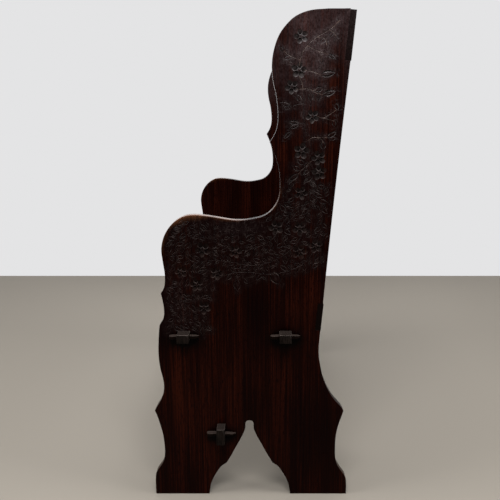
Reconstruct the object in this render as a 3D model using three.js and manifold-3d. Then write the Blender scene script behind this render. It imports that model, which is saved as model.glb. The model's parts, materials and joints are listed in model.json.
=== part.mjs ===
// An oak settle bench that knocks down: two scrolled end boards, seat boards and a stretcher whose through
// tenons are locked outside by loose keys, and a panelled back let into the rear edges of the end boards.
// Millimetres. X runs along the bench, the front faces -Y, +Z is up, and the origin lies on the floor.
import * as THREE from 'three';
import { mergeVertices } from 'three/addons/utils/BufferGeometryUtils.js';
import Module from 'manifold-3d';

const wasm = await Module();
wasm.setup();

// Overall sizes
const benchLength = 1040;
const boardDepth = 495;
const boardHeight = 1200;
const boardThickness = 25;

// Clearance left between touching pieces, and the overrun of a cut past the face it opens
const gap = 0.3;
const overrun = 30;

// Arch between the feet of an end board
const archHalfWidth = 105;
const archHeight = 206;
const archCentreY = -3.5;

// Seat
const seatHeight = 445;
const seatThickness = 22;
const seatFrontInset = 32.5;
const seatRearGap = 4.4;
const frontSeatBoardWidth = 193;
const seatNosingRadius = 7;
const seatTenonWidth = 29;
const frontTenonSetback = 51;
const rearTenonSetback = 83;
const tenonProjection = 35;

// Stretcher
const stretcherY = -75;
const stretcherThickness = 20;
const stretcherHeight = 90;
const stretcherTenonHeight = 42;
const stretcherTenonCentreZ = 176.5;

// Keys
const keyLength = 73;
const keyHeight = 9;
const keyThickEnd = 18;
const keyThinEnd = 12;
const keyDrop = 2;
const keyEndChamfer = 2.5;
const keyDraw = 3;

// Back frame, which leans to the rear
const backRake = THREE.MathUtils.degToRad(5.15);
const backSeatInset = 74.1;
const backTopDrop = 3;
const rearEdgeHollow = 3;
const railThickness = 14;
const topRailHeight = 110;
const bottomRailHeight = 68;
const stileWidth = 60;
const muntinWidth = 50;
const panelCount = 3;
const panelThickness = 6;
const grooveDepth = 8;
const backTenonLength = 30;
const backTenonShoulder = 10;

// Pegs and screws
const pegRadius = 3;
const pegSides = 12;
const screwHeadRadius = 4.2;
const screwHeadDepth = 2.8;
const screwShankRadius = 2;
const screwLength = 36;
const screwPointLength = 5;
const screwSlotWidth = 1;
const screwSlotDepth = 1.2;
const screwSides = 16;
const screwRowShares = [0.25, 0.75];

// End board outline as shares of its depth, from the middle, and of its height
const wingShares = [
  [0.363, 1], [0.278, 0.997], [0.221, 0.989], [0.184, 0.978], [0.137, 0.954], [0.109, 0.921],
  [0.103, 0.894], [0.109, 0.869], [0.125, 0.839], [0.133, 0.801], [0.127, 0.781], [0.114, 0.767],
  [0.094, 0.754],
];
const armShares = [
  [0.094, 0.754], [0.111, 0.738], [0.126, 0.721], [0.138, 0.701], [0.144, 0.672], [0.139, 0.647],
  [0.121, 0.63], [0.097, 0.618], [0.065, 0.609], [0.017, 0.6035], [-0.035, 0.6005], [-0.083, 0.6008],
  [-0.163, 0.606], [-0.223, 0.6096], [-0.275, 0.611], [-0.312, 0.6093], [-0.342, 0.604], [-0.371, 0.5955],
  [-0.397, 0.5835], [-0.4205, 0.5655], [-0.433, 0.5415], [-0.427, 0.514], [-0.4195, 0.488], [-0.4255, 0.4625],
  [-0.4425, 0.45],
];
const frontEarShares = [[-0.4425, 0.45], [-0.435, 0.436], [-0.4285, 0.412], [-0.434, 0.396], [-0.453, 0.383]];
const frontLegShares = [
  [-0.453, 0.383], [-0.458, 0.366], [-0.4635, 0.325], [-0.461, 0.302], [-0.455, 0.285], [-0.447, 0.27],
  [-0.441, 0.253], [-0.4435, 0.236], [-0.459, 0.218], [-0.476, 0.2055], [-0.492, 0.1935],
];
const frontFootShares = [
  [-0.492, 0.1935], [-0.4825, 0.184], [-0.469, 0.1655], [-0.4535, 0.1375], [-0.447, 0.108], [-0.4485, 0.09],
  [-0.454, 0.079], [-0.4695, 0.0665], [-0.486, 0.057], [-0.4965, 0.048], [-0.5, 0.033], [-0.5, 0],
];
const rearFootShares = [
  [0.5, 0], [0.5, 0.022], [0.496, 0.037], [0.4865, 0.045], [0.4685, 0.0555], [0.4505, 0.0685],
  [0.4405, 0.082], [0.437, 0.11], [0.44, 0.1365], [0.4495, 0.1585], [0.4635, 0.177], [0.4755, 0.1925],
];
const rearLegShares = [
  [0.4755, 0.1925], [0.46, 0.203], [0.4235, 0.2205], [0.394, 0.2405], [0.368, 0.2665], [0.354, 0.2905],
  [0.3435, 0.318],
];
const rearEdgeFootShare = 0.335;

// Half of the arch as shares of its half width and height, from the floor to the shoulder and on to the point
const archFootShares = [[1, 0], [0.983, 0.058], [0.952, 0.141], [0.897, 0.213], [0.804, 0.2985],
  [0.696, 0.379], [0.558, 0.43]];
const archPointShares = [[0.558, 0.43], [0.443, 0.534], [0.281, 0.692], [0.167, 0.806], [0.106, 0.886],
  [0.096, 0.961], [0.07, 0.989], [0, 1]];

const stepsPerSpan = 3;
const rearEdgeSteps = 8;
const nosingSteps = 4;

// Places worked out from the sizes above
const outerFaceX = benchLength / 2;
const innerFaceX = outerFaceX - boardThickness;
const shoulderX = innerFaceX - gap;
const tenonEndX = outerFaceX + tenonProjection;
const backSeatY = boardDepth / 2 - backSeatInset;
const seatFrontY = -boardDepth / 2 + seatFrontInset;
const seatRearY = backSeatY - seatRearGap;
const seatSplitY = seatFrontY + frontSeatBoardWidth;
const frontTenonY = seatFrontY + frontTenonSetback;
const rearTenonY = seatRearY - rearTenonSetback;
const seatKeyZ = seatHeight - seatThickness / 2 - keyDrop;
const stretcherKeyZ = stretcherTenonCentreZ - keyDrop;
const backBottomZ = seatHeight + gap;
const backLength = (boardHeight - backTopDrop - backBottomZ) / Math.cos(backRake);
const topRailZ = backLength - topRailHeight;
const rearEdgeY = (z) => backSeatY + (z - backBottomZ) * Math.tan(backRake);

const oak = new THREE.MeshStandardMaterial({ color: 0x2a1712, roughness: 0.42, metalness: 0 });
const wornOak = new THREE.MeshStandardMaterial({ color: 0x3a2a22, roughness: 0.5, metalness: 0 });
const panelOak = new THREE.MeshStandardMaterial({ color: 0x301a13, roughness: 0.45, metalness: 0 });
const darkSteel = new THREE.MeshStandardMaterial({ color: 0x3b3632, roughness: 0.45, metalness: 0.9 });

// Solid modelling helpers
function toSolid(geometry) {
  geometry.deleteAttribute('normal');
  geometry.deleteAttribute('uv');
  const merged = mergeVertices(geometry);
  return new wasm.Manifold(new wasm.Mesh({
    numProp: 3,
    vertProperties: merged.attributes.position.array,
    triVerts: new Uint32Array(merged.index.array),
  }));
}

function toMesh(name, solid, material) {
  const { vertProperties, triVerts } = solid.getMesh();
  const geometry = new THREE.BufferGeometry();
  geometry.setAttribute('position', new THREE.BufferAttribute(vertProperties, 3));
  geometry.setIndex(new THREE.BufferAttribute(triVerts, 1));
  geometry.computeVertexNormals();
  const mesh = new THREE.Mesh(geometry, material);
  mesh.name = name;
  return mesh;
}

// A box between two corners
function block([x0, y0, z0], [x1, y1, z1]) {
  const geometry = new THREE.BoxGeometry(x1 - x0, y1 - y0, z1 - z0);
  return geometry.translate((x0 + x1) / 2, (y0 + y1) / 2, (z0 + z1) / 2);
}

// A plan drawn in X and Y, extruded up from z0 to z1
function extrudeUp(points, z0, z1) {
  const options = { depth: z1 - z0, bevelEnabled: false };
  return new THREE.ExtrudeGeometry(new THREE.Shape(points), options).translate(0, 0, z0);
}

// A profile drawn in Y and Z, extruded along X and centred on X = 0
function extrudeAlongX(points, length) {
  const geometry = extrudeUp(points, -length / 2, length / 2);
  const axes = new THREE.Matrix4().makeBasis(
    new THREE.Vector3(0, 1, 0), new THREE.Vector3(0, 0, 1), new THREE.Vector3(1, 0, 0),
  );
  return geometry.applyMatrix4(axes);
}

// A round bar whose profile of radius and distance turns about the Y axis
function turnedAboutY(profile, sides) {
  return new THREE.LatheGeometry(profile.map(([r, y]) => new THREE.Vector2(r, y)), sides);
}

// A smooth run through places given in Y and Z
function smoothRun(places) {
  const through = places.map(([y, z]) => new THREE.Vector3(y, z, 0));
  const curve = new THREE.CatmullRomCurve3(through, false, 'centripetal');
  return curve.getPoints(stepsPerSpan * (places.length - 1)).map((p) => new THREE.Vector2(p.x, p.y));
}

const onBoard = (shares) => shares.map(([y, z]) => [y * boardDepth, z * boardHeight]);
const onArch = (shares, side) => shares.map(([y, z]) => (
  [archCentreY + side * y * archHalfWidth, z * archHeight]
));

// The back frame's place: its own Y = 0 is its rear face, and its own Z runs up the rake
function backMatrix() {
  const turn = new THREE.Matrix4().makeRotationX(-backRake);
  return turn.setPosition(0, backSeatY, backBottomZ);
}

// The straight rear edge with its slight hollow, from the leg up to the top
function rearEdgeFoot() {
  const low = rearEdgeFootShare * boardHeight;
  return [rearEdgeY(low), low];
}

function rearEdge() {
  const foot = new THREE.Vector2(...rearEdgeFoot());
  const top = new THREE.Vector2(rearEdgeY(boardHeight), boardHeight);
  const middle = foot.clone().add(top).multiplyScalar(1 / 2);
  middle.x -= 2 * rearEdgeHollow;
  return new THREE.QuadraticBezierCurve(foot, middle, top).getPoints(rearEdgeSteps);
}

function endBoardOutline() {
  const runs = [
    smoothRun(onBoard(wingShares)),
    smoothRun(onBoard(armShares)),
    smoothRun(onBoard(frontEarShares)),
    smoothRun(onBoard(frontLegShares)),
    smoothRun(onBoard(frontFootShares)),
    smoothRun(onArch(archFootShares, -1)),
    smoothRun(onArch(archPointShares, -1)),
    smoothRun(onArch(archPointShares, 1)).reverse(),
    smoothRun(onArch(archFootShares, 1)).reverse(),
    smoothRun(onBoard(rearFootShares)),
    smoothRun([...onBoard(rearLegShares), rearEdgeFoot()]),
    rearEdge(),
  ];
  const points = runs.flat();
  return points.filter((p, i) => i === 0 || p.distanceTo(points[i - 1]) > gap);
}

// The open-topped or closed notch that takes a rail's end, in the back frame's own axes
function railNotch(low, high) {
  const reach = boardThickness / 2 + overrun;
  const cut = block([-reach, -railThickness - gap, low], [reach, overrun, high]);
  return toSolid(cut.applyMatrix4(backMatrix()));
}

function throughMortise(centreY, width, low, high) {
  const reach = boardThickness / 2 + overrun;
  return toSolid(block(
    [-reach, centreY - width / 2 - gap, low - gap],
    [reach, centreY + width / 2 + gap, high + gap],
  ));
}

const railScrewHeights = [
  ...screwRowShares.map((share) => share * bottomRailHeight),
  ...screwRowShares.map((share) => topRailZ + share * topRailHeight),
];

// A screw standing along -Y from its head, which is flush at Y = 0
function screwProfile(spare) {
  const neck = screwHeadDepth + spare;
  const point = screwLength - screwPointLength;
  const head = screwHeadRadius + spare;
  const shank = screwShankRadius + spare;
  return [[0, -screwLength - spare], [shank, -point], [shank, -neck], [head, 0], [head, spare], [0, spare]];
}

function screwHole(height) {
  return turnedAboutY(screwProfile(gap), screwSides).translate(0, 0, height);
}

function endBoard(name, side) {
  let solid = toSolid(extrudeAlongX(endBoardOutline(), boardThickness));
  const low = seatHeight - seatThickness;
  solid = solid.subtract(throughMortise(frontTenonY, seatTenonWidth, low, seatHeight));
  solid = solid.subtract(throughMortise(rearTenonY, seatTenonWidth, low, seatHeight));
  const half = stretcherTenonHeight / 2;
  solid = solid.subtract(throughMortise(
    stretcherY, stretcherThickness, stretcherTenonCentreZ - half, stretcherTenonCentreZ + half,
  ));
  solid = solid.subtract(railNotch(-gap, bottomRailHeight + gap));
  solid = solid.subtract(railNotch(topRailZ - gap, backLength + overrun));
  for (const height of railScrewHeights) {
    solid = solid.subtract(toSolid(screwHole(height).applyMatrix4(backMatrix())));
  }
  const mesh = toMesh(name, solid, oak);
  mesh.position.x = side * (outerFaceX - boardThickness / 2);
  return mesh;
}

// The slot for a key through a tenon, slanted outside like the key and cut back inside the board's face
function keySlot(side, centreY, centreZ) {
  const reach = keyLength / 2;
  const slope = (keyThickEnd - keyThinEnd) / keyLength;
  const mid = (keyThickEnd + keyThinEnd) / 2;
  const inner = outerFaceX - keyDraw;
  const outerAt = (y) => outerFaceX + gap + mid - slope * y + gap;
  const plan = [[inner, -reach], [outerAt(-reach), -reach], [outerAt(reach), reach], [inner, reach]];
  const points = plan.map(([x, y]) => new THREE.Vector2(side * x, centreY + y));
  return toSolid(extrudeUp(points, centreZ - keyHeight / 2 - gap, centreZ + keyHeight / 2 + gap));
}

function key(name, side, centreY, centreZ) {
  const reach = keyLength / 2;
  const inner = outerFaceX + gap;
  const thick = inner + keyThickEnd;
  const thin = inner + keyThinEnd;
  const plan = [
    [inner, -reach], [thick - keyEndChamfer, -reach], [thick, -reach + keyEndChamfer],
    [thin, reach - keyEndChamfer], [thin - keyEndChamfer, reach], [inner, reach],
  ];
  const points = plan.map(([x, y]) => new THREE.Vector2(side * x, y));
  const mesh = toMesh(name, toSolid(extrudeUp(points, -keyHeight / 2, keyHeight / 2)), wornOak);
  mesh.position.set(0, centreY, centreZ);
  return mesh;
}

// Plan of a board between the end boards with one centred-width tenon at each end
function tenonedPlan(frontY, rearY, tenonY, tenonWidth) {
  const a = tenonY - tenonWidth / 2;
  const b = tenonY + tenonWidth / 2;
  const half = [
    [shoulderX, frontY], [shoulderX, a], [tenonEndX, a], [tenonEndX, b], [shoulderX, b], [shoulderX, rearY],
  ];
  const mirrored = half.map(([x, y]) => [-x, y]).reverse();
  return [...half, ...mirrored].map(([x, y]) => new THREE.Vector2(x, y));
}

// Cross-section of the front seat board, with its rounded nosing
function nosedProfile(frontY, rearY, radius) {
  const bottom = seatHeight - seatThickness;
  const shape = new THREE.Path();
  shape.moveTo(frontY, bottom + radius);
  shape.lineTo(frontY, seatHeight - radius);
  shape.absarc(frontY + radius, seatHeight - radius, radius, Math.PI, Math.PI / 2, true);
  shape.lineTo(rearY, seatHeight);
  shape.lineTo(rearY, bottom);
  shape.absarc(frontY + radius, bottom + radius, radius, -Math.PI / 2, -Math.PI, true);
  return shape.getPoints(nosingSteps);
}

function frontSeatBoard() {
  const rearY = seatSplitY - gap;
  const plan = tenonedPlan(seatFrontY, rearY, frontTenonY, seatTenonWidth);
  const nosed = extrudeAlongX(nosedProfile(seatFrontY, rearY, seatNosingRadius), 2 * tenonEndX + overrun);
  let solid = toSolid(extrudeUp(plan, seatHeight - seatThickness, seatHeight)).intersect(toSolid(nosed));
  for (const side of [-1, 1]) solid = solid.subtract(keySlot(side, frontTenonY, seatKeyZ));
  return toMesh('seat_board_front', solid, oak);
}

function rearSeatBoard() {
  const plan = tenonedPlan(seatSplitY, seatRearY, rearTenonY, seatTenonWidth);
  let solid = toSolid(extrudeUp(plan, seatHeight - seatThickness, seatHeight));
  for (const side of [-1, 1]) solid = solid.subtract(keySlot(side, rearTenonY, seatKeyZ));
  return toMesh('seat_board_rear', solid, oak);
}

function stretcher() {
  const y0 = stretcherY - stretcherThickness / 2;
  const y1 = stretcherY + stretcherThickness / 2;
  const length = (reach, height) => toSolid(block(
    [-reach, y0, stretcherTenonCentreZ - height / 2],
    [reach, y1, stretcherTenonCentreZ + height / 2],
  ));
  let solid = length(shoulderX, stretcherHeight).add(length(tenonEndX, stretcherTenonHeight));
  for (const side of [-1, 1]) solid = solid.subtract(keySlot(side, stretcherY, stretcherKeyZ));
  return toMesh('stretcher', solid, oak);
}

// Back frame. Its uprights stand between the rails, from the left stile to the right one.
const frameHalfWidth = innerFaceX - gap;
const panelOpening = (2 * frameHalfWidth - 2 * stileWidth - (panelCount - 1) * muntinWidth) / panelCount;
const openingLow = bottomRailHeight;
const openingHigh = topRailZ;
const midPlaneY = -railThickness / 2;

function uprights() {
  const list = [];
  let x = -frameHalfWidth;
  for (let i = 0; i <= panelCount; i += 1) {
    const outermost = i === 0 || i === panelCount;
    const width = outermost ? stileWidth : muntinWidth;
    list.push({ x0: x, x1: x + width, grooveLeft: i > 0, grooveRight: i < panelCount });
    x += width + panelOpening;
  }
  return list;
}

// A groove or mortise of the panels' thickness, grown by the clearance
function slotInFrame(x0, x1, z0, z1) {
  const half = panelThickness / 2 + gap;
  return toSolid(block([x0, midPlaneY - half, z0], [x1, midPlaneY + half, z1]));
}

function uprightTenonSpan({ x0, x1 }) {
  return [x0 + backTenonShoulder, x1 - backTenonShoulder];
}

function pegPlaces() {
  const reach = backTenonLength / 2;
  return uprights().flatMap((upright, i) => [
    { name: `peg_bottom_${i + 1}`, x: (upright.x0 + upright.x1) / 2, z: openingLow - reach },
    { name: `peg_top_${i + 1}`, x: (upright.x0 + upright.x1) / 2, z: openingHigh + reach },
  ]);
}

function pegBar(radius, spare) {
  const bar = new THREE.CylinderGeometry(radius, radius, railThickness + spare, pegSides);
  return bar.translate(0, midPlaneY, 0);
}

// A rail with the panel groove in its inner edge, mortises for the uprights, and peg and screw holes
function rail(name, low, high, edge, inward) {
  let solid = toSolid(block([-outerFaceX, -railThickness, low], [outerFaceX, 0, high]));
  const span = (depth) => [Math.min(edge, edge + inward * depth), Math.max(edge, edge + inward * depth)];
  const posts = uprights();
  for (let i = 0; i < panelCount; i += 1) {
    const [z0, z1] = span(grooveDepth);
    const [x0, x1] = [posts[i].x1 - grooveDepth, posts[i + 1].x0 + grooveDepth];
    solid = solid.subtract(slotInFrame(x0, x1, z0 - gap, z1 + gap));
  }
  for (const upright of posts) {
    const [x0, x1] = uprightTenonSpan(upright);
    const [z0, z1] = span(backTenonLength);
    solid = solid.subtract(slotInFrame(x0 - gap, x1 + gap, z0 - gap, z1 + gap));
  }
  for (const { x, z } of pegPlaces().filter((peg) => peg.z > low && peg.z < high)) {
    solid = solid.subtract(toSolid(pegBar(pegRadius + gap, overrun).translate(x, 0, z)));
  }
  for (const side of [-1, 1]) {
    for (const height of railScrewHeights.filter((z) => z > low && z < high)) {
      const hole = screwHole(height).translate(side * (outerFaceX - boardThickness / 2), 0, 0);
      solid = solid.subtract(toSolid(hole));
    }
  }
  return toMesh(name, solid, oak);
}

function backUpright(name, upright, index) {
  const { x0, x1, grooveLeft, grooveRight } = upright;
  let solid = toSolid(block([x0, -railThickness, openingLow + gap], [x1, 0, openingHigh - gap]));
  const [t0, t1] = uprightTenonSpan(upright);
  const half = panelThickness / 2;
  const low = openingLow - backTenonLength;
  const high = openingHigh + backTenonLength;
  solid = solid.add(toSolid(block([t0, midPlaneY - half, low], [t1, midPlaneY + half, high])));
  const groove = (from, to) => slotInFrame(from, to, openingLow, openingHigh);
  if (grooveLeft) solid = solid.subtract(groove(x0 - overrun, x0 + grooveDepth));
  if (grooveRight) solid = solid.subtract(groove(x1 - grooveDepth, x1 + overrun));
  for (const { x, z } of pegPlaces().slice(2 * index, 2 * index + 2)) {
    solid = solid.subtract(toSolid(pegBar(pegRadius + gap, overrun).translate(x, 0, z)));
  }
  return toMesh(name, solid, oak);
}

function backPanel(name, left, right) {
  const inset = grooveDepth - gap;
  const half = panelThickness / 2;
  const solid = toSolid(block(
    [left.x1 - inset, midPlaneY - half, openingLow - inset],
    [right.x0 + inset, midPlaneY + half, openingHigh + inset],
  ));
  return toMesh(name, solid, panelOak);
}

function peg({ name, x, z }) {
  const mesh = toMesh(name, toSolid(pegBar(pegRadius, 0)), wornOak);
  mesh.position.set(x, 0, z);
  return mesh;
}

function screw(name, side, height) {
  const body = toSolid(turnedAboutY(screwProfile(0), screwSides));
  const slot = block(
    [-screwHeadRadius - gap, -screwSlotDepth, -screwSlotWidth / 2],
    [screwHeadRadius + gap, overrun, screwSlotWidth / 2],
  );
  const mesh = toMesh(name, body.subtract(toSolid(slot)), darkSteel);
  mesh.position.set(side * (outerFaceX - boardThickness / 2), 0, height);
  return mesh;
}

const sides = [['left', -1], ['right', 1]];
const bench = new THREE.Group();

for (const [word, side] of sides) {
  bench.add(endBoard(`end_board_${word}`, side));
  bench.add(key(`key_seat_front_${word}`, side, frontTenonY, seatKeyZ));
  bench.add(key(`key_seat_rear_${word}`, side, rearTenonY, seatKeyZ));
  bench.add(key(`key_stretcher_${word}`, side, stretcherY, stretcherKeyZ));
}
bench.add(frontSeatBoard(), rearSeatBoard(), stretcher());

const back = new THREE.Group();
back.position.set(0, backSeatY, backBottomZ);
back.rotation.x = -backRake;
back.add(rail('back_bottom_rail', 0, bottomRailHeight, openingLow, -1));
back.add(rail('back_top_rail', topRailZ, backLength, openingHigh, 1));
const posts = uprights();
posts.forEach((upright, i) => {
  const word = i === 0 || i === panelCount ? 'stile' : 'muntin';
  back.add(backUpright(`back_${word}_${i + 1}`, upright, i));
});
for (let i = 0; i < panelCount; i += 1) back.add(backPanel(`back_panel_${i + 1}`, posts[i], posts[i + 1]));
for (const place of pegPlaces()) back.add(peg(place));
for (const [word, side] of sides) {
  railScrewHeights.forEach((height, i) => back.add(screw(`screw_${word}_${i + 1}`, side, height)));
}
bench.add(back);

export default bench;
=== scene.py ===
import json
import math

import bmesh
import bpy
import numpy as np
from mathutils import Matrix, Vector
from mathutils.geometry import delaunay_2d_cdt


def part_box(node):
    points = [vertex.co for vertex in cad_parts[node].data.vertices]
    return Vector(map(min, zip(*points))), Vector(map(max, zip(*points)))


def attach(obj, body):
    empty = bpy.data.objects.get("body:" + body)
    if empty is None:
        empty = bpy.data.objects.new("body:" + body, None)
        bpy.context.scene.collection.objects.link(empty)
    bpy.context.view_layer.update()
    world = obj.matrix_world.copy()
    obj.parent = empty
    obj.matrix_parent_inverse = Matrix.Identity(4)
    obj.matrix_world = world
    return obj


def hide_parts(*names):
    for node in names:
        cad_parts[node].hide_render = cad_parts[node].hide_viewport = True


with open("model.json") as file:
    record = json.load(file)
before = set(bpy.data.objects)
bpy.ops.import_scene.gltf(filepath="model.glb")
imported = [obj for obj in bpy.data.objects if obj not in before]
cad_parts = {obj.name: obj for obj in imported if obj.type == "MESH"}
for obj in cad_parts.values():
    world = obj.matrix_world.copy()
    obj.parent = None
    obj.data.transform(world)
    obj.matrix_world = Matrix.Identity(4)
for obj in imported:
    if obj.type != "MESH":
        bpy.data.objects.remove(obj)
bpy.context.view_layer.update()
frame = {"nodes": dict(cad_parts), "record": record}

# The oak settle bench's visible surfaces. Lengths are millimetres until a mesh is made.
# X runs along the bench, the front faces -Y and +Z is up.
MM = 0.001

# End boards: arrises, softer outside than at the joints, and the step and sharpest bend of the outlines
ARRIS = 1.5
JOINT_ARRIS = 0.5
ARRIS_STEPS = 4
OUTLINE_STEP = 3.0
CORNER_TURN = math.radians(24)

# Meshes: the grid over a plain face, the least gap between carving points, where a board's edges stay
# sharp, how near points are welded, and what is marked at each of a board's points
FACE_GRID = 5.0
POINT_SPACING = 0.45
SHARP_ANGLE = math.radians(30)
WELD = 0.05
MARKS = ("wear", "cut", "matted", "stem", "grime_and_shadow", "thin")

# How near a solid's points are to its flat face, and to how many digits they are told apart
FLAT_WITHIN = 0.01
PLACE_DIGITS = 3

# How far past a rail's end its notch in the board is looked for, below and behind it, and above it
NOTCH_SLACK = 1.0
NOTCH_HEADROOM = 3.0

# How a face is filled with triangles: the number that asks for its inside only, and how near points are one
FILL_INSIDE = 2
FILL_WITHIN = 1e-5

# Points whose distances are worked out at once
DISTANCE_BLOCK = 400

# V cuts on the end boards' outer faces: slope, half widths, and how fast a cut comes to its full width
CUT_SLOPE = 0.85
STEM_HALF = 1.25
VINE_HALF = 1.0
FINE_HALF = 0.8
TIP_HALF = 0.4
TIP_RISE = 3
CUT_STEP = 2.0
RIM_FADE = 1.0
LEAF_HALF_SHARE = 0.078
FAINT_HALF_SHARE = 0.04
LEAF_BOW = 0.85
LEAF_POINTS = 6
SPINE_POINTS = 5

# Flowers: five hollowed petals round a ringed boss
PETALS = 5
FLOWER_RADIUS = 18.5
FLOWER_SHARES = (0.88, 1.08)
FLOWER_SPAN = 1.5
PETAL_CENTRE_SHARE = 0.6
PETAL_LONG_SHARE = 0.42
PETAL_WIDE_SHARE = 0.35
PETAL_TIP_DEPTH = 0.8
PETAL_HEART_DEPTH = 3.2
PETAL_WALL_SHARE = 0.3
PETAL_RINGS = [(0.4, 6), (1 - PETAL_WALL_SHARE, 12), (0.99, 16), (1.08, 16)]
BOSS_SHARE = 0.15
BOSS_POINTS = 13

# Matted ground round the carving, also darkened there with painted shade, and the size of the tiles that its
# depth is worked out in
MATTED_REACH = 6.0
MATTED_FADE = 8.0
TILE = 40.0

# Softened edges of the other pieces, and where their ends come out of the end boards
SOFT_EDGE = 1.2
FINE_EDGE = 0.6
SCREW_EDGE = 0.2
EDGE_SEGMENTS = 2
EDGE_ANGLE = math.radians(32)
SOLID_WELD = 0.01
SOLID_FLAT = math.radians(1)
END_FROM = 519.0

# Keys: thin end against thick end, how much and how far their whittled ends draw in, and the knife's marks
KEY_THIN_SHARE = 0.667
KEY_END_SHRINK = 0.5
KEY_END_REACHES = (5.0, 11.0)
KEY_WAVE = 0.035
KEY_WAVE_LENGTH = 17.0
KEY_SQUARENESS = 0.3
KEY_ROUND = 28
KEY_STATIONS = 31
KEY_SHARP_ANGLE = math.radians(40)
STRETCHER_KEY_FALL = 3.6

# Stems as places in Y and Z on the board
STEMS = [
    [(203, 1174), (180, 1154), (150, 1137), (131, 1120), (118, 1099), (113, 1075)],
    [(180, 1154), (188, 1150), (196, 1141)],
    [(154, 1138), (170, 1135), (175, 1123)],
    [(131, 1120), (152, 1110), (178, 1101)],
    [(114, 1089), (94, 1097), (78, 1108)],
    [(157, 1108), (163, 1099), (163, 1088)],
    [(126, 1066), (142, 1064), (162, 1056)],
    [(108, 1024), (136, 1025), (151, 1017), (168, 1012)],
    [(145, 1021), (152, 1023)],
    [(114, 1051), (120, 1038), (123, 1024)],
    [(155, 964), (169, 960), (185, 968), (199, 977)],
    [(169, 960), (185, 956), (195, 953)],
    [(135, 908), (146, 915), (179, 915)],
    [(158, 915), (168, 910), (171, 903)],
    [(143, 860), (127, 845), (114, 831)],
]

# Stems that are worn nearly away
FAINT_STEMS = [
    [(123, 1024), (124, 993), (126, 955), (131, 926), (135, 908), (133, 893)],
    [(124, 993), (109, 990), (95, 986)],
    [(127, 946), (114, 948)],
]

# A fine drying split along the grain, low on the board
SHAKE = [(153.5, 199), (152.5, 240), (153.0, 290), (154.0, 337)]
SHAKE_HALF = 0.55

# Vines of the thickly carved part, which carry leaves on both sides
VINES = [
    [(136, 891), (140, 863), (140, 828), (139, 793), (142, 762), (134, 734)],
    [(161, 856), (150, 835), (146, 805), (156, 778), (170, 757)],
    [(139, 762), (110, 751), (86, 727), (53, 676), (12, 654), (-29, 648), (-73, 662), (-120, 686),
     (-153, 693)],
    [(134, 734), (120, 678), (91, 644), (48, 619), (-1, 611), (-44, 619), (-92, 624), (-133, 619),
     (-174, 644)],
    [(170, 757), (171, 717), (162, 673), (134, 619), (97, 599), (43, 589), (-6, 594), (-54, 589),
     (-102, 564), (-142, 534), (-173, 499), (-193, 468)],
    [(-133, 619), (-161, 584), (-176, 549), (-157, 512), (-124, 486), (-108, 504)],
]

# Leaves from base to tip
LEAVES = [
    ((178, 1101), (197, 1091)), ((78, 1108), (68, 1117)), ((94, 1097), (79, 1090)), ((99, 1094), (92, 1083)),
    ((163, 1093), (164, 1079)), ((161, 1065), (162, 1077)), ((162, 1056), (196, 1061)),
    ((168, 1012), (198, 1020)), ((150, 1021), (169, 1028)), ((140, 1017), (141, 997)),
    ((158, 1013), (158, 997)), ((109, 1011), (121, 995)), ((198, 993), (204, 977)),
    ((114, 948), (90, 951)), ((114, 946), (91, 936)), ((94, 928), (79, 913)),
    ((195, 955), (196, 939)), ((179, 915), (202, 929)), ((184, 913), (201, 914)), ((171, 907), (171, 886)),
    ((128, 854), (111, 864)), ((118, 840), (100, 849)), ((114, 831), (90, 814)), ((125, 845), (123, 826)),
    ((175, 1139), (175, 1125)), ((170, 1135), (161, 1124)), ((188, 1150), (181, 1138)),
    ((195, 1145), (196, 1132)),
]

# Leaves that are worn nearly away, and broad ones that hang below the thick carving
FAINT_LEAVES = [((95, 986), (70, 995)), ((98, 986), (75, 980))]
HANGING_LEAVES = [((-33, 575), (-31, 547)), ((52, 594), (73, 563))]
HANGING_WIDTH_SHARE = 0.56

# Flower middles
FLOWERS = [
    (117, 1140), (113, 1066), (97, 1029), (145, 963), (121, 884), (161, 868), (163, 834), (121, 786),
    (62, 703), (119, 701), (119, 644), (158, 658), (-82, 591), (-36, 645), (-115, 649), (-131, 562),
    (-168, 594), (-114, 504),
]

# Thickly carved areas as lowest and highest Y and Z
THICK_AREAS = [((-200, -72), (575, 712)), ((-72, 50), (575, 676)), ((50, 190), (615, 800)),
               ((-212, -105), (452, 575))]

# Matted ground with no leaves on it: Y, Z, reach across and up, and strength
MATTED_PLACES = np.array([[-22.0, 702.0, 66.0, 25.0, 2.9]])

# Small leaves of the thick carving: along the vines first, and then tried at seeded places between them
VINE_LEAF_GAP = 9.0
VINE_LEAF_LENGTHS = (13.0, 22.0)
VINE_LEAF_TURNS = (math.radians(28), math.radians(62))
VINE_STALK = 2.5
LEAF_WIDTH_SHARES = (0.38, 0.5)
RIBBED_SHARE = 0.5
BIG_LEAF = 21.0
BIG_LEAF_WIDTH_SHARE = 0.32
FILL_TRIES = 2000
FILL_CLEARANCE = 3.0
EDGE_CLEARANCE = 7.0
FLOWER_CLEARANCE = 3.0
SEED = 11

# Rubbed places on the end boards: Y, Z, reach and strength. Then the least wear along an edge and its reach
WEAR_PLACES = np.array([
    [-150.0, 728.0, 55.0, 0.8],
    [-208.0, 670.0, 55.0, 0.35],
    [-60.0, 728.0, 60.0, 0.3],
    [70.0, 1120.0, 120.0, 0.13],
    [60.0, 960.0, 80.0, 0.1],
    [75.0, 770.0, 60.0, 0.25],
    [-230.0, 60.0, 120.0, 0.13],
    [230.0, 60.0, 120.0, 0.13],
])
WEAR_FLOOR = 0.1
WEAR_REACH = 9.0

# The left board is taken to be less handled than the right one
LEFT_USE = 0.5

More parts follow.
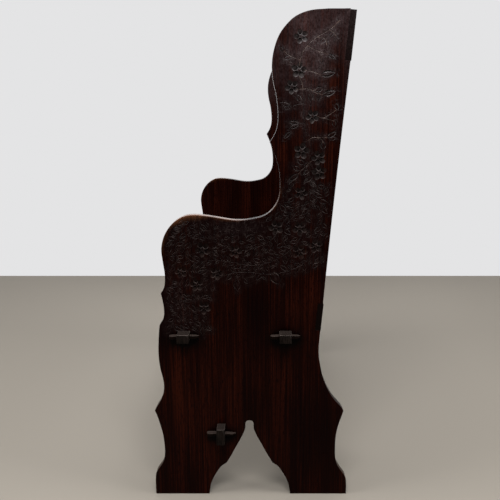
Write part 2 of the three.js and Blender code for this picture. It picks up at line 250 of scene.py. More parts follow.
# Where the stain lies thinner and warmer, or thicker and darker: Y, Z, reach across and up, and strength
STAIN_PLACES = np.array([
    [77.0, 886.0, 22.0, 55.0, 1.0], [188.0, 900.0, 20.0, 130.0, 0.9], [186.0, 740.0, 18.0, 80.0, 0.5],
    [-165.0, 260.0, 75.0, 150.0, 0.8], [-100.0, 170.0, 70.0, 120.0, 0.5], [-60.0, 340.0, 70.0, 70.0, 0.4],
    [98.0, 500.0, 30.0, 45.0, 0.8], [150.0, 540.0, 25.0, 60.0, 0.7], [60.0, 330.0, 50.0, 60.0, 0.4],
    [15.0, 500.0, 28.0, 75.0, -1.0], [175.0, 170.0, 60.0, 90.0, -0.9], [-55.0, 520.0, 25.0, 50.0, 0.3],
    [207.0, 1090.0, 13.0, 90.0, 0.75], [194.0, 1010.0, 12.0, 60.0, 0.9], [70.0, 1000.0, 9.0, 40.0, 0.7],
    [76.0, 1135.0, 11.0, 45.0, 0.8], [-228.0, 428.0, 16.0, 28.0, -1.5], [-150.0, 690.0, 40.0, 40.0, -0.3],
    [40.0, 700.0, 60.0, 50.0, -0.4], [-200.0, 470.0, 30.0, 70.0, -0.8], [120.0, 250.0, 50.0, 60.0, -0.3],
])

# Grime and painted shadow round each mortise, the shadow falling below the key: how far it reaches across
# and up, and how far below the middle it lies
GRIME_SHADOW_REACH = (42.0, 23.0)
GRIME_SHADOW_DROP = 12.0


def linked(name, data):
    """A new object in the scene, at the origin."""
    piece = bpy.data.objects.new(name, data)
    bpy.context.scene.collection.objects.link(piece)
    return piece


def unit(vectors):
    """The vectors divided by their lengths."""
    return vectors / np.linalg.norm(vectors, axis=1)[:, None]


def knot_gap(a, b):
    """The centripetal gap between two points of a spline: the root of their distance."""
    return np.sqrt(np.linalg.norm(b - a, axis=1))[:, None]


def spline(points, step, closed=False):
    """A centripetal Catmull-Rom run through the points, with every point kept, at about the step given.
    Where a closed run turns by more than CORNER_TURN, it stops and starts again, so the corner stays
    sharp."""
    points = np.asarray(points, float)
    if closed:
        p1, p2 = points, np.roll(points, -1, 0)
        p0, p3 = np.roll(points, 1, 0), np.roll(points, -2, 0)
        ahead, behind = p2 - p1, p1 - p0
        turn = np.arctan2(ahead[:, 0] * behind[:, 1] - ahead[:, 1] * behind[:, 0],
                          (ahead * behind).sum(1))
        corner = np.abs(turn) > CORNER_TURN
        p0 = np.where(corner[:, None], 2 * p1 - p2, p0)
        p3 = np.where(np.roll(corner, -1)[:, None], 2 * p2 - p1, p3)
    else:
        p1, p2 = points[:-1], points[1:]
        p0 = np.vstack([2 * points[0] - points[1], points[:-2]])
        p3 = np.vstack([points[2:], 2 * points[-1] - points[-2]])
    d01, d12, d23 = knot_gap(p0, p1), knot_gap(p1, p2), knot_gap(p2, p3)
    leave = ((p1 - p0) / d01 - (p2 - p0) / (d01 + d12) + (p2 - p1) / d12) * d12
    reach = ((p2 - p1) / d12 - (p3 - p1) / (d12 + d23) + (p3 - p2) / d23) * d12
    counts = np.maximum(1, np.ceil(np.linalg.norm(p2 - p1, axis=1) / step)).astype(int)
    span = np.repeat(np.arange(len(p1)), counts)
    t = ((np.arange(len(span)) - np.repeat(np.cumsum(counts) - counts, counts)) / counts[span])[:, None]
    run = (p1[span] * (2 * t**3 - 3 * t**2 + 1) + leave[span] * (t**3 - 2 * t**2 + t)
           + p2[span] * (3 * t**2 - 2 * t**3) + reach[span] * (t**3 - t**2))
    return run if closed else np.vstack([run, points[-1]])


def sideways(path, closed=False):
    """Unit vectors across a path, to the left of its run, each halfway between those of the legs before and
    after it. Gives also the cosine of half the turn there."""
    if closed:
        ahead, behind = np.roll(path, -1, 0) - path, path - np.roll(path, 1, 0)
    else:
        legs = np.diff(path, axis=0)
        ahead, behind = np.vstack([legs, legs[-1:]]), np.vstack([legs[:1], legs])
    mean = unit(unit(ahead) + unit(behind))
    return np.column_stack([-mean[:, 1], mean[:, 0]]), (mean * unit(ahead)).sum(1)


def face_loops(node, face_x):
    """The closed outlines of a node's flat face at that X, in millimetres of Y and Z, the tallest first."""
    mesh = node.data
    co = np.empty(len(mesh.vertices) * 3)
    mesh.vertices.foreach_get("co", co)
    co = co.reshape(-1, 3) / MM
    corners = np.empty(len(mesh.polygons) * 3, int)
    mesh.polygons.foreach_get("vertices", corners)
    corners = corners.reshape(-1, 3)
    places, index = np.unique(np.round(co[:, 1:], PLACE_DIGITS), axis=0, return_inverse=True)
    flat = np.all(np.abs(co[corners][:, :, 0] - face_x) < FLAT_WITHIN, axis=1)
    tri = index.ravel()[corners[flat]]
    edges = np.vstack([tri[:, [0, 1]], tri[:, [1, 2]], tri[:, [2, 0]]])
    code = edges[:, 0] * len(places) + edges[:, 1]
    back = edges[:, 1] * len(places) + edges[:, 0]
    rim = edges[~np.isin(code, back)]
    outline = bpy.data.meshes.new("outline")
    outline.from_pydata(np.column_stack([places, np.zeros(len(places))]).tolist(), rim.tolist(), [])
    piece = linked("outline", outline)
    bpy.ops.object.select_all(action="DESELECT")
    piece.select_set(True)
    bpy.context.view_layer.objects.active = piece
    bpy.ops.object.convert(target="CURVE")
    loops = []
    for run in piece.data.splines:
        points = np.empty(len(run.points) * 4)
        run.points.foreach_get("co", points)
        loops.append(points.reshape(-1, 4)[:, :2])
    bpy.data.objects.remove(piece)
    return sorted(loops, key=lambda points: -np.ptp(points[:, 1]))


def enclosed(points, loop):
    """True for the points inside a closed loop: a line from the point towards +Y crosses the loop an odd
    number of times."""
    y, z = points[:, 0][:, None], points[:, 1][:, None]
    ay, az = loop[:, 0], loop[:, 1]
    by, bz = np.roll(ay, -1), np.roll(az, -1)
    level = (az > z) != (bz > z)
    meets = ay + (z - az) * (by - ay) / np.where(bz == az, 1.0, bz - az)
    return (level & (y < meets)).sum(1) % 2 == 1


def distance_to(points, others):
    """Each point's distance to the nearest of the others, worked out in blocks."""
    blocks = np.array_split(points, max(1, len(points) // DISTANCE_BLOCK))
    return np.concatenate([np.sqrt(((b[:, None] - others) ** 2).sum(2).min(1)) for b in blocks])


def bells(points, places):
    """What the places add up to at each point. Each adds its strength times a bell over its two reaches."""
    away = (points[:, None] - places[:, :2]) / places[:, 2:4]
    return (places[:, 4] * np.exp(-(away**2).sum(2))).sum(1)


def cut_along(path, half, ends):
    """A V cut along a path as rows of ay, az, by, bz and the half width at each end, and the half widths
    along it. The tool comes out of the wood towards the ends that are marked, so the cut thins there."""
    along = np.linspace(0, 1, len(path))
    widths = np.full(len(path), half)
    if ends[0]:
        widths = np.minimum(widths, TIP_HALF + (half - TIP_HALF) * along * TIP_RISE)
    if ends[1]:
        widths = np.minimum(widths, TIP_HALF + (half - TIP_HALF) * (1 - along) * TIP_RISE)
    return np.column_stack([path[:-1], path[1:], widths[:-1], widths[1:]]), widths


def spine(base, tip):
    """Even points on the line from a leaf's base to its tip."""
    return np.linspace(base, tip, SPINE_POINTS)


def leaf_outline(base, tip, width_share):
    """The two sides of a leaf: each bows off the line from base to tip by half the leaf's width times
    sin(pi t^LEAF_BOW), where t runs from 0 at the base to 1 at the tip."""
    base, tip = np.asarray(base, float), np.asarray(tip, float)
    axis = tip - base
    across = np.array([-axis[1], axis[0]]) * width_share / 2
    t = np.linspace(0, 1, max(LEAF_POINTS, round(np.linalg.norm(axis) / CUT_STEP)))[:, None]
    return [base + axis * t + side * across * np.sin(np.pi * t**LEAF_BOW) for side in (1, -1)]


def petal_grid(middle, radius, angle):
    """Points of one petal: rings round the middle of an ellipse that points away from the flower's middle,
    at PETAL_RINGS' shares of its size."""
    out = np.array([math.cos(angle), math.sin(angle)])
    over = np.array([-out[1], out[0]])
    centre = middle + out * radius * PETAL_CENTRE_SHARE
    rows = [centre[None]]
    for share, count in PETAL_RINGS:
        a = np.linspace(0, 2 * math.pi, count, endpoint=False)[:, None]
        rows.append(centre + share * radius * (out * np.cos(a) * PETAL_LONG_SHARE
                                               + over * np.sin(a) * PETAL_WIDE_SHARE))
    return np.vstack(rows)


class Carving:
    """The cuts and petals of one board face, and the points that its mesh needs to show them."""

    def __init__(self):
        self.cuts, self.rows, self.petals, self.spines = [], [], [], []

    def cut(self, path, half, ends):
        """A V cut along a path, with mesh points on its middle line and along both of its edges."""
        rows, widths = cut_along(path, half, ends)
        over, _ = sideways(path)
        self.cuts.append(rows)
        side = over * widths[:, None]
        self.rows.append(np.vstack([path, path + side, path - side]))

    def stem(self, places, half, ends):
        """A V cut along a smooth run through the places."""
        path = spline(places, CUT_STEP)
        self.cut(path, half, ends)
        self.spines.append(path[::2])

    def leaf(self, base, tip, width_share, ribbed, half_share=LEAF_HALF_SHARE):
        """Two bowed cuts from base to tip, and a rib between them where the leaf is ribbed."""
        self.spines.append(spine(base, tip))
        half = half_share * math.dist(base, tip)
        for side in leaf_outline(base, tip, width_share):
            self.cut(side, half, (True, True))
        if ribbed:
            self.cut(spine(base, tip)[:-1], FINE_HALF, (True, True))

    def flower(self, middle, radius, turn):
        """Petals at even angles from the turn given, and a ring cut round the boss."""
        middle = np.asarray(middle, float)
        for angle in turn + np.arange(PETALS) * 2 * math.pi / PETALS:
            self.petals.append([*middle, radius, angle])
            self.rows.append(petal_grid(middle, radius, angle))
        ring = np.linspace(0, 2 * math.pi, BOSS_POINTS)[:, None]
        boss = middle + radius * BOSS_SHARE * np.hstack([np.cos(ring), np.sin(ring)])
        self.cut(boss, FINE_HALF, (False, False))
        self.spines.append(middle[None])

    def depth(self, points):
        """Depth of the carving at each point: the deepest of the V cuts, which fall evenly to their middle
        line, and of the petals, which have steep walls and a floor that falls evenly from tip to heart."""
        cuts, petals = np.vstack(self.cuts), np.array(self.petals)
        depth = np.zeros(len(points))
        widest = cuts[:, 4:].max()
        tiles = np.floor(points / TILE).astype(int)
        for tile in np.unique(tiles, axis=0):
            here = np.flatnonzero((tiles == tile).all(1))
            p = points[here][:, None]
            low, high = tile * TILE - widest, (tile + 1) * TILE + widest
            past_low = np.maximum(cuts[:, :2], cuts[:, 2:4]) > low
            near = (past_low & (np.minimum(cuts[:, :2], cuts[:, 2:4]) < high)).all(1)
            if near.any():
                a, b = cuts[near, :2], cuts[near, 2:4]
                leg = b - a
                t = np.clip(((p - a) * leg).sum(2) / (leg**2).sum(1), 0, 1)
                away = np.linalg.norm(p - a - t[:, :, None] * leg, axis=2)
                half = cuts[near, 4] + t * (cuts[near, 5] - cuts[near, 4])
                depth[here] = (np.clip(half - away, 0, None) * CUT_SLOPE).max(1)
            span = TILE / 2 + FLOWER_RADIUS * FLOWER_SPAN
            near = (np.abs(petals[:, :2] - (low + high) / 2) < span).all(1)
            if near.any():
                y, z, radius, angle = petals[near].T
                out, over = np.cos(angle), np.sin(angle)
                dy, dz = p[:, :, 0] - y, p[:, :, 1] - z
                along, across = dy * out + dz * over, dz * out - dy * over
                share = np.hypot((along / radius - PETAL_CENTRE_SHARE) / PETAL_LONG_SHARE,
                                 across / radius / PETAL_WIDE_SHARE)
                tip = np.clip(along / radius, 0, 1)
                floor = PETAL_TIP_DEPTH * tip + PETAL_HEART_DEPTH * (1 - tip)
                dish = (np.clip((1 - share) / PETAL_WALL_SHARE, 0, 1) * floor).max(1)
                depth[here] = np.maximum(depth[here], dish)
        return depth

    def matted(self, points):
        """How matted the ground is, which also gives the painted shade round the carved forms: 1 near a
        stem, leaf or flower, falling off over MATTED_FADE past the reach, and as much as the matted places
        say where there is none."""
        away = distance_to(points, np.vstack(self.spines))
        near = np.clip((MATTED_REACH + MATTED_FADE - away) / MATTED_FADE, 0, 1)
        return np.maximum(near, bells(points, MATTED_PLACES))


def spread_leaves(carving, outline):
    """Leaves along the vines, at even gaps on alternate sides, and then between them wherever a leaf tried
    at a seeded place has room."""
    draw = np.random.default_rng(SEED)
    blooms = np.vstack([FLOWERS, np.mean(HANGING_LEAVES, axis=1)])

    def has_room(base, tip, clearance):
        mine = spine(base, tip)
        if distance_to(mine[1:], blooms).min() < FLOWER_RADIUS + FLOWER_CLEARANCE:
            return False
        if clearance and distance_to(mine, np.vstack(carving.spines)).min() < clearance:
            return False
        return enclosed(mine, outline).all() and distance_to(mine, outline).min() > EDGE_CLEARANCE

    def grow(base, way, clearance):
        tip = base + way * draw.uniform(*VINE_LEAF_LENGTHS)
        share = draw.uniform(*LEAF_WIDTH_SHARES)
        if has_room(base, tip, clearance):
            carving.leaf(base, tip, share, draw.random() < RIBBED_SHARE)

    for vine in VINES:
        path = spline(vine, CUT_STEP)
        over, _ = sideways(path)
        reach = np.concatenate([[0], np.cumsum(np.linalg.norm(np.diff(path, axis=0), axis=1))])
        side = 1
        for place in np.arange(VINE_LEAF_GAP / 2, reach[-1], VINE_LEAF_GAP):
            i = min(np.searchsorted(reach, place), len(path) - 1)
            along = np.array([over[i][1], -over[i][0]])
            turn = draw.uniform(*VINE_LEAF_TURNS)
            way = along * math.cos(turn) + side * over[i] * math.sin(turn)
            grow(path[i] + way * VINE_STALK, way, 0)
            side = -side
    for _ in range(FILL_TRIES):
        (y0, y1), (z0, z1) = THICK_AREAS[draw.integers(len(THICK_AREAS))]
        base = np.array([draw.uniform(y0, y1), draw.uniform(z0, z1)])
        turn = draw.uniform(0, 2 * math.pi)
        grow(base, np.array([math.cos(turn), math.sin(turn)]), FILL_CLEARANCE)


def board_carving(outline):
    """All that is carved on an end board: the forms at their own places, and then the small leaves."""
    carving = Carving()
    draw = np.random.default_rng(SEED)
    for place in FLOWERS:
        carving.flower(place, FLOWER_RADIUS * draw.uniform(*FLOWER_SHARES), draw.uniform(0, 2 * math.pi))
    for stem in STEMS:
        carving.stem(stem, STEM_HALF, (True, True))
    for stem in FAINT_STEMS:
        carving.stem(stem, FINE_HALF, (False, True))
    for vine in VINES:
        carving.stem(vine, VINE_HALF, (False, True))
    carving.cut(spline(SHAKE, CUT_STEP), SHAKE_HALF, (True, True))
    for base, tip in HANGING_LEAVES:
        carving.leaf(base, tip, HANGING_WIDTH_SHARE, True)
    for base, tip in FAINT_LEAVES:
        carving.leaf(base, tip, BIG_LEAF_WIDTH_SHARE, False, FAINT_HALF_SHARE)
    for base, tip in LEAVES:
        big = math.dist(base, tip) > BIG_LEAF
        carving.leaf(base, tip, BIG_LEAF_WIDTH_SHARE if big else LEAF_WIDTH_SHARES[1], big)
    spread_leaves(carving, outline)
    return carving


def rim_rings(loop, arris):
    """Rings of a rounded arris along a closed loop of points. Ring k lies in from the loop by
    arris (1 - sin a) and down from the face by arris (1 - cos a), where a runs from 0 on the face to a
    quarter turn on the wall."""
    over, lean = sideways(loop, closed=True)
    area = (loop[:, 0] * np.roll(loop[:, 1], -1) - np.roll(loop[:, 0], -1) * loop[:, 1]).sum()
    inward = over * np.sign(area) / lean[:, None]
    angles = np.linspace(0, math.pi / 2, ARRIS_STEPS)
    return [(loop + inward * (arris * (1 - math.sin(a)))[:, None], arris * (1 - math.cos(a)))
            for a in angles]


def filled(rings, extra):
    """Triangles that fill the first ring and leave the others open, through the extra points inside."""
    points = np.vstack([*rings, extra])
    edges, start = [], 0
    for ring in rings:
        i = np.arange(len(ring))
        edges.append(start + np.column_stack([i, np.roll(i, -1)]))
        start += len(ring)
    places = [Vector(p) for p in points.tolist()]
    made = delaunay_2d_cdt(places, np.vstack(edges).tolist(), [], FILL_INSIDE, FILL_WITHIN)
    return np.array([tuple(p) for p in made[0]]), np.array(made[2])


def wear_at(points, edge_distance):
    """How rubbed the varnish is: the strongest of the places, each a bell over its reach, or WEAR_FLOOR
    where that is more, falling off as exp(-d / WEAR_REACH) at the distance d from the edge."""
    away = np.linalg.norm(points[:, None] - WEAR_PLACES[:, :2], axis=2)
    place = (WEAR_PLACES[:, 3] * np.exp(-((away / WEAR_PLACES[:, 2]) ** 2))).max(1)
    return np.maximum(place, WEAR_FLOOR) * np.exp(-edge_distance / WEAR_REACH)


def board_surfaces():
    """What the two end boards share, in Y and Z: the outline and mortises made smooth, the rings of their
    rounded arrises, the carved outer sheet and the plain inner one."""
    lo, hi = np.array(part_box("end_board_right")) / MM
    loops = [np.clip(spline(loop, OUTLINE_STEP, closed=True), lo[1:], hi[1:])
             for loop in face_loops(frame["nodes"]["end_board_right"], hi[0])]
    rails = [np.array(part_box(name)) / MM for name in ("back_bottom_rail", "back_top_rail")]
    arrises = []
    for i, loop in enumerate(loops):
        arris = np.full(len(loop), ARRIS if i == 0 else JOINT_ARRIS)
        for low, high in rails:
            level = (loop[:, 1] > low[2] - NOTCH_SLACK) & (loop[:, 1] < high[2] + NOTCH_HEADROOM)
            arris[level & (loop[:, 0] > low[1] - NOTCH_SLACK)] = JOINT_ARRIS
        arrises.append(arris)
    rims = [rim_rings(loop, arris if i == 0 else -arris)
            for i, (loop, arris) in enumerate(zip(loops, arrises))]
    face_rings = [rim[0][0] for rim in rims]
    return loops, rims, arrises, [carved_sheet(face_rings, loops), plain_sheet(face_rings)]


def stem_at(points):
    """How near each point is to a stem's middle line: 1 on it and 0 from STEM_HALF away."""
    lines = np.vstack([spline(stem, POINT_SPACING) for stem in STEMS])
    return np.clip(1 - distance_to(points, lines) / STEM_HALF, 0, 1)


def grime_and_shadow_at(points, loops):
    """How dark the grime and the painted shadow under the keys are: 1 just under the middle of each mortise,
    falling off as a bell outwards.
    """
    middles = np.array([loop.mean(0) for loop in loops[1:]]) - (0, GRIME_SHADOW_DROP)
    return np.exp(-(((points[:, None] - middles) / GRIME_SHADOW_REACH) ** 2).sum(2)).max(1)


def end_board(name, side, surfaces):
    """A scrolled end board: its outline is the CAD board's, made smooth, its arrises are rounded, and its
    outer face is a triangulated sheet that the carving pushes in. side is 1 for the right board and -1 for
    the left."""
    lo, hi = np.array(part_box(name)) / MM
    outer = hi[0] if side > 0 else lo[0]
    inner = lo[0] if side > 0 else hi[0]
    loops, rims, arrises, sheets = surfaces
    use = 1 if side > 0 else LEFT_USE
    verts, faces, marks = [], [], []

    def join(points, x, polys, wear, carved):
        faces.extend((polys + sum(map(len, verts))).tolist())
        verts.append(np.column_stack([x, points]))
        # The grime mark is also a painted shadow that falls below each key
        marks.append(np.column_stack([use * wear, carved, grime_and_shadow_at(points, loops),
                                      bells(points, STAIN_PLACES)]))

    for (points, tris, carved), x, inward in zip(sheets, (outer, inner), (side, -side)):
        turned = tris if inward > 0 else tris[:, ::-1]
        rubbed = wear_at(points, distance_to(points, loops[0]))
        join(points, x - inward * carved[:, 0], turned, rubbed, carved)
    for rim, arris in zip(rims, arrises):
        rings = [(points, outer - side * np.abs(drop)) for points, drop in rim]
        rings += [(points, inner + side * np.abs(drop)) for points, drop in reversed(rim)]
        points = np.vstack([ring for ring, _ in rings])
        x = np.concatenate([level for _, level in rings])
        handled = np.tile(arris / ARRIS, len(rings)) ** 2
        rubbed = wear_at(points, np.zeros(len(points))) * handled
        join(points, x, ring_quads(len(rings), len(arris)), rubbed, np.zeros((len(points), 3)))
    labelled = zip(MARKS, np.vstack(marks).T)
    return welded_mesh(name + "_carved", np.vstack(verts), faces, SHARP_ANGLE, labelled)


def carved_sheet(rings, loops):
    """The outer face's points and triangles, and at each point how deep it is cut, how matted it is and how
    near it is to a stem."""
    carving = board_carving(loops[0])
    rows = np.vstack(carving.rows)
    clear = enclosed(rows, rings[0]) & (distance_to(rows, np.vstack(rings)) > POINT_SPACING)
    extra = np.vstack([rows[clear], face_grid(rings)])
    _, first = np.unique(np.floor(extra / POINT_SPACING).astype(int), axis=0, return_index=True)
    points, tris = filled(rings, extra[np.sort(first)])
    fade = np.clip(distance_to(points, np.vstack(rings)) / RIM_FADE, 0, 1)
    depth = carving.depth(points) * fade
    return points, tris, np.column_stack([depth, carving.matted(points), stem_at(points)])


def plain_sheet(rings):
    """The inner face's points and triangles, with nothing cut, matted or near a stem."""
    points, tris = filled(rings, face_grid(rings))
    return points, tris, np.zeros((len(points), 3))


def face_grid(rings):
    """A hexagonal grid over the face, kept a little off its rims."""
    low, high = rings[0].min(0), rings[0].max(0)
    rise = FACE_GRID * math.sqrt(3) / 2
    y, z = np.meshgrid(np.arange(low[0], high[0], FACE_GRID), np.arange(low[1], high[1], rise))
    y = y + (np.arange(len(y)) % 2)[:, None] * FACE_GRID / 2
    grid = np.column_stack([y.ravel(), z.ravel()])
    grid = grid[enclosed(grid, rings[0])]
    return grid[distance_to(grid, np.vstack(rings)) > FACE_GRID / 2]


def ring_quads(levels, count):
    """The quads between the levels of a stack of closed rings that all have the same count of points."""
    k, j = np.meshgrid(np.arange(levels - 1), np.arange(count), indexing="ij")
    a, b = k * count + j, k * count + (j + 1) % count
    return np.stack([a, b, b + count, a + count], axis=2).reshape(-1, 4)


def welded_mesh(name, verts, faces, sharp_angle, labelled=()):
    """A closed mesh with points that lie together welded, and with edges sharp from the angle on. Each label
    with its values becomes an attribute of the points."""
    mesh = bpy.data.meshes.new(name)
    mesh.from_pydata((verts * MM).tolist(), [], faces)
    for label, values in labelled:
        mesh.attributes.new(label, "FLOAT", "POINT").data.foreach_set("value", values.astype(np.float32))
    work = bmesh.new()
    work.from_mesh(mesh)
    bmesh.ops.remove_doubles(work, verts=work.verts, dist=WELD * MM)
    bmesh.ops.recalc_face_normals(work, faces=work.faces)
    work.to_mesh(mesh)
    work.free()
    mesh.shade_smooth()
    mesh.set_sharp_from_angle(angle=sharp_angle)
    return mesh


def squared(wave):
    """One axis of a key's cross-section: a sine or cosine with its size raised to KEY_SQUARENESS."""
    return np.sign(wave) * np.abs(wave) ** KEY_SQUARENESS


def whittled_key(name, fall):
    """A wedge cut with a knife, in cross-sections from its thick front end to its thin rear one. Each is a
    superellipse, cos(a)^KEY_SQUARENESS by sin(a)^KEY_SQUARENESS, with its inner side on the board. Its
    thickness falls evenly, its top falls evenly by fall, and near an end both draw in with the square of
    the nearness. Waves along the key thin it a little, as the strokes of the knife do."""
    lo, hi = np.array(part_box(name)) / MM
    side = np.sign(lo[0])
    inner, outer = sorted((abs(lo[0]), abs(hi[0])))
    t = np.linspace(0, 1, KEY_STATIONS)[:, None]
    run = t * (hi[1] - lo[1])
    front, rear = KEY_END_REACHES
    near = np.maximum(1 - run / front, 1 - (hi[1] - lo[1] - run) / rear).clip(0)
    drawn = 1 - KEY_END_SHRINK * near**2
    wave = 1 - KEY_WAVE * (1 + np.sin(run / KEY_WAVE_LENGTH * 2 * math.pi))
    thick = (outer - inner) * (1 - t * (1 - KEY_THIN_SHARE)) * wave
    tall = (hi[2] - lo[2] - fall * t) * (1 - KEY_WAVE * (1 + np.cos(run / KEY_WAVE_LENGTH * math.pi)))
    a = np.linspace(0, 2 * math.pi, KEY_ROUND, endpoint=False)
    x = side * (inner + thick / 2 * (drawn * (1 + squared(np.cos(a)))))
    z = lo[2] + tall / 2 * (1 + drawn * squared(np.sin(a)))
    y = np.broadcast_to(lo[1] + run, x.shape)
    rings = np.stack([x, y, z], axis=2)
    verts = np.vstack([rings.reshape(-1, 3), rings[0].mean(0), rings[-1].mean(0)])
    j = np.arange(KEY_ROUND)
    after, last = (j + 1) % KEY_ROUND, (KEY_STATIONS - 1) * KEY_ROUND
    caps = [np.column_stack([np.full(KEY_ROUND, len(verts) - 2), after, j]),
            np.column_stack([np.full(KEY_ROUND, len(verts) - 1), last + j, last + after])]
    faces = ring_quads(KEY_STATIONS, KEY_ROUND).tolist() + np.vstack(caps).tolist()
    return welded_mesh(name + "_whittled", verts, faces, KEY_SHARP_ANGLE)


def softened(name, edge):
    """A copy of a CAD node with its triangles merged into flat faces and its edges rounded by a bevel."""
    mesh = frame["nodes"][name].data.copy()
    work = bmesh.new()
    work.from_mesh(mesh)
    bmesh.ops.remove_doubles(work, verts=work.verts, dist=SOLID_WELD * MM)
    bmesh.ops.dissolve_limit(work, angle_limit=SOLID_FLAT, verts=work.verts, edges=work.edges)
    work.to_mesh(mesh)
    work.free()
    piece = linked(name + "_finished", mesh)
    bevel = piece.modifiers.new("edge", "BEVEL")
    bevel.width = edge * MM
    bevel.segments = EDGE_SEGMENTS
    bevel.limit_method = "ANGLE"
    bevel.angle_limit = EDGE_ANGLE
    bevel.harden_normals = True
    mesh.shade_smooth()
    return piece


# Colours of the finishes, as sRGB hex values. The stain is darkest first and warmest last.
STAIN_DARK = "#090101"
OAK_SHADES = (STAIN_DARK, "#130301", "#2b0d05")
PANEL_SHADES = (STAIN_DARK, "#1c0803", "#2c1107")
# Near black of the dirt and painted shade in the deepest cuts, and of the grime and painted shadow round the
# keys
GRIME_SHADE = "#030101"
STAIN_WORN = "#5c3a25"
EDGE_WORN = "#7a5a48"
STAIN_END = "#0b0504"
# Rubbed pale of the cut flanks and stems with a painted highlight, and a painted grey shade of the cuts
CUT_RUBBED_HIGHLIGHT = "#7c6c66"
CUT_DUSTY_HIGHLIGHT = "#7d7778"
CUT_SHADED = "#1b1d1c"
STEM_RUBBED_HIGHLIGHT = "#7d675c"
# Grey of the bloom and of the painted sheen of the light from above
BLOOM_SHEEN = "#5e4d4e"
END_GRAIN_DARK = "#060403"
END_GRAIN_PALE = "#1c1613"
# A tenon's top, grey with handling and lit paler with painted light, and the painted highlight on its arris
TENON_TOP_LIT = "#2e2724"
TENON_ARRIS_HIGHLIGHT = "#625853"
KEY_DARK = "#0c0503"
# Grey dust and painted light on the faces of the keys and pegs that look up
KEY_DUST_LIT = "#3c332f"
STEEL_DARK = "#2b2622"
STEEL = "#4a4540"
FLOOR_GREY = "#928b81"
WALL_WHITE = "#e4e4e5"
WALL_SHADED = "#8c8c8d"
ROOM_WHITE = "#ffffff"

# Old shellac over the stain: its gloss is dulled by handling, and stays bright only where hands polish it
SHELLAC_IOR = 1.48
SHELLAC_LEVEL = 0.035
POLISH_IOR = 1.5
POLISH_ROUGHNESS = 0.14
POLISH_MOST = 0.42

# The patterns of the finishes: size across the grain and along it, in millimetres, and octaves of finer
# detail. Pores are really a third as wide, and are drawn coarser so that they show.
STREAK = (3.0, 200.0, 3)
FIGURE = (48.0, 560.0, 2)
PORE = (1.1, 16.0, 1)
CLOUD = (60.0, 110.0, 3)
SPECK = (3.2, 5.0, 2)
SPOT = (13.0, 13.0, 3)
PUNCH = (2.4, 9.0, 2)
RUB = (9.0, 30.0, 3)
RING = (1.6, 22.0, 2)
KEY_STREAK = (1.2, 25.0, 3)
KEY_PORE = (0.9, 12.0, 1)
STEEL_PATCH = (1.5, 1.5, 3)

# The oak's tone: how much of it is streak, how far thin stain shifts it, and where its three shades lie
STREAK_SHARE = 0.63
THIN_SHIFT = 0.11
TONE_STOPS = (0.33, 0.5, 0.68)
PORE_LEVELS = (0.34, 0.42)
PORE_DEPTH = 0.15 * MM
PORE_STRENGTH = 0.35

# Roughness of the shellac on each piece, and how far the streaks take it down and up
BOARD_ROUGHNESS = 0.33
RAIL_ROUGHNESS = 0.35
PANEL_ROUGHNESS = 0.38
TENON_ROUGHNESS = 0.4
KEY_ROUGHNESS = 0.42
GLOSS_LEVELS = (0.3, 0.7)
GLOSS_SPREAD = (-0.06, 0.1)

# Grey bloom on the shellac and painted sheen of the light from above: between which heights in metres they
# thicken, how steeply, how thick they get, how much of them is on plain ground and low on matted ground, and
# how thin stain, clouds and specks change them
BLOOM_SHEEN_LEVELS = (0.62, 1.12)
BLOOM_SHEEN_RISE = 5.2
BLOOM_SHEEN_MOST = 0.28
BLOOM_SHEEN_PLAIN = 0.7
BLOOM_SHEEN_LOW = 0.05
WIPED_LEVELS = (0.1, 0.9)
WIPED_SHARES = (1.0, 0.15)
CLOUD_LEVELS = (0.3, 0.7)
SPECK_LEVELS = (0.35, 0.65)
BLOOM_SHEEN_SHARES = (0.5, 1.45)

# Carved ground: how dark matting and painted shade round the carved forms make it, and how much painted
# light its dents catch
MATTED_SHADE_DARK = 0.6
DENT_LEVELS = (0.54, 0.72)
DENT_MOST = 0.4

# Flanks of the cuts, rubbed pale and with a painted highlight: between which depths in millimetres they
# show, how they thicken with height and in spots, and which way a lit one faces
FLANK_DEPTHS = (0.06, 0.4)
FLANK_RISE = 2.4
FLANK_SHARES = (0.118, 0.52)
FLANK_SPOTS = (0.4, 0.62)
FLANK_SPOT_SHARES = (0.12, 1.3)
LIT_FACING = (-0.1, 0.4)
LIT_SHARES = (0.05, 1.0)

# Painted grey shade of the cuts, and rubbed paleness of the stems with a painted highlight, each low on the
# board and near its top
SHADE_SHARES = (0.1, 0.55)
STEM_SHARES = (0.2, 0.65)
STEM_LEVELS = (0.35, 1.0)
STEM_SPOTS = (0.35, 0.6)
STEM_SPOT_SHARES = (0.4, 1.2)

# Dirt and painted shade in the deepest cuts, by their depth in millimetres, and grime and painted shadow
# round the keys
DIRT_SHADE_DEPTHS = (1.5, 2.5)
DIRT_SHADE_MOST = 0.85
GRIME_SHADOW_LEVELS = (0.08, 0.65)
GRIME_SHADOW_MOST = 0.92

# Wear along the arris: where it shows on the faces, where it turns the edge pale and glossy, and how far a
# surface has turned away from the face where it counts as edge
WORN_LEVELS = (0.06, 0.5)
EDGE_LEVELS = (0.1, 0.36)
EDGE_MOST = 0.7
POLISH_LEVELS = (0.05, 0.3)
TURNED_LEVELS = (0.25, 0.65)

# Ends of the rails and tenons: how much bloom and painted sheen is kept off them, how far up a tenon's
# surface looks where it takes each of its tones, among them a painted highlight on the arris and a painted
# lit top, and their upright lines
END_WIPED = 0.75
TENON_STOPS = (0.12, 0.4, 0.75, 0.97)
RING_LEVELS = (0.4, 0.6)
RING_SHARES = (0.75, 0.0)

# Dust and painted light on the keys and pegs: which way a dusty, lit face looks, and how the streaks break
# it up
DUST_LIT_FACING = (0.25, 0.85)
DUST_LIT_LEVELS = (0.3, 0.65)
DUST_LIT_SHARES = (0.45, 1.0)

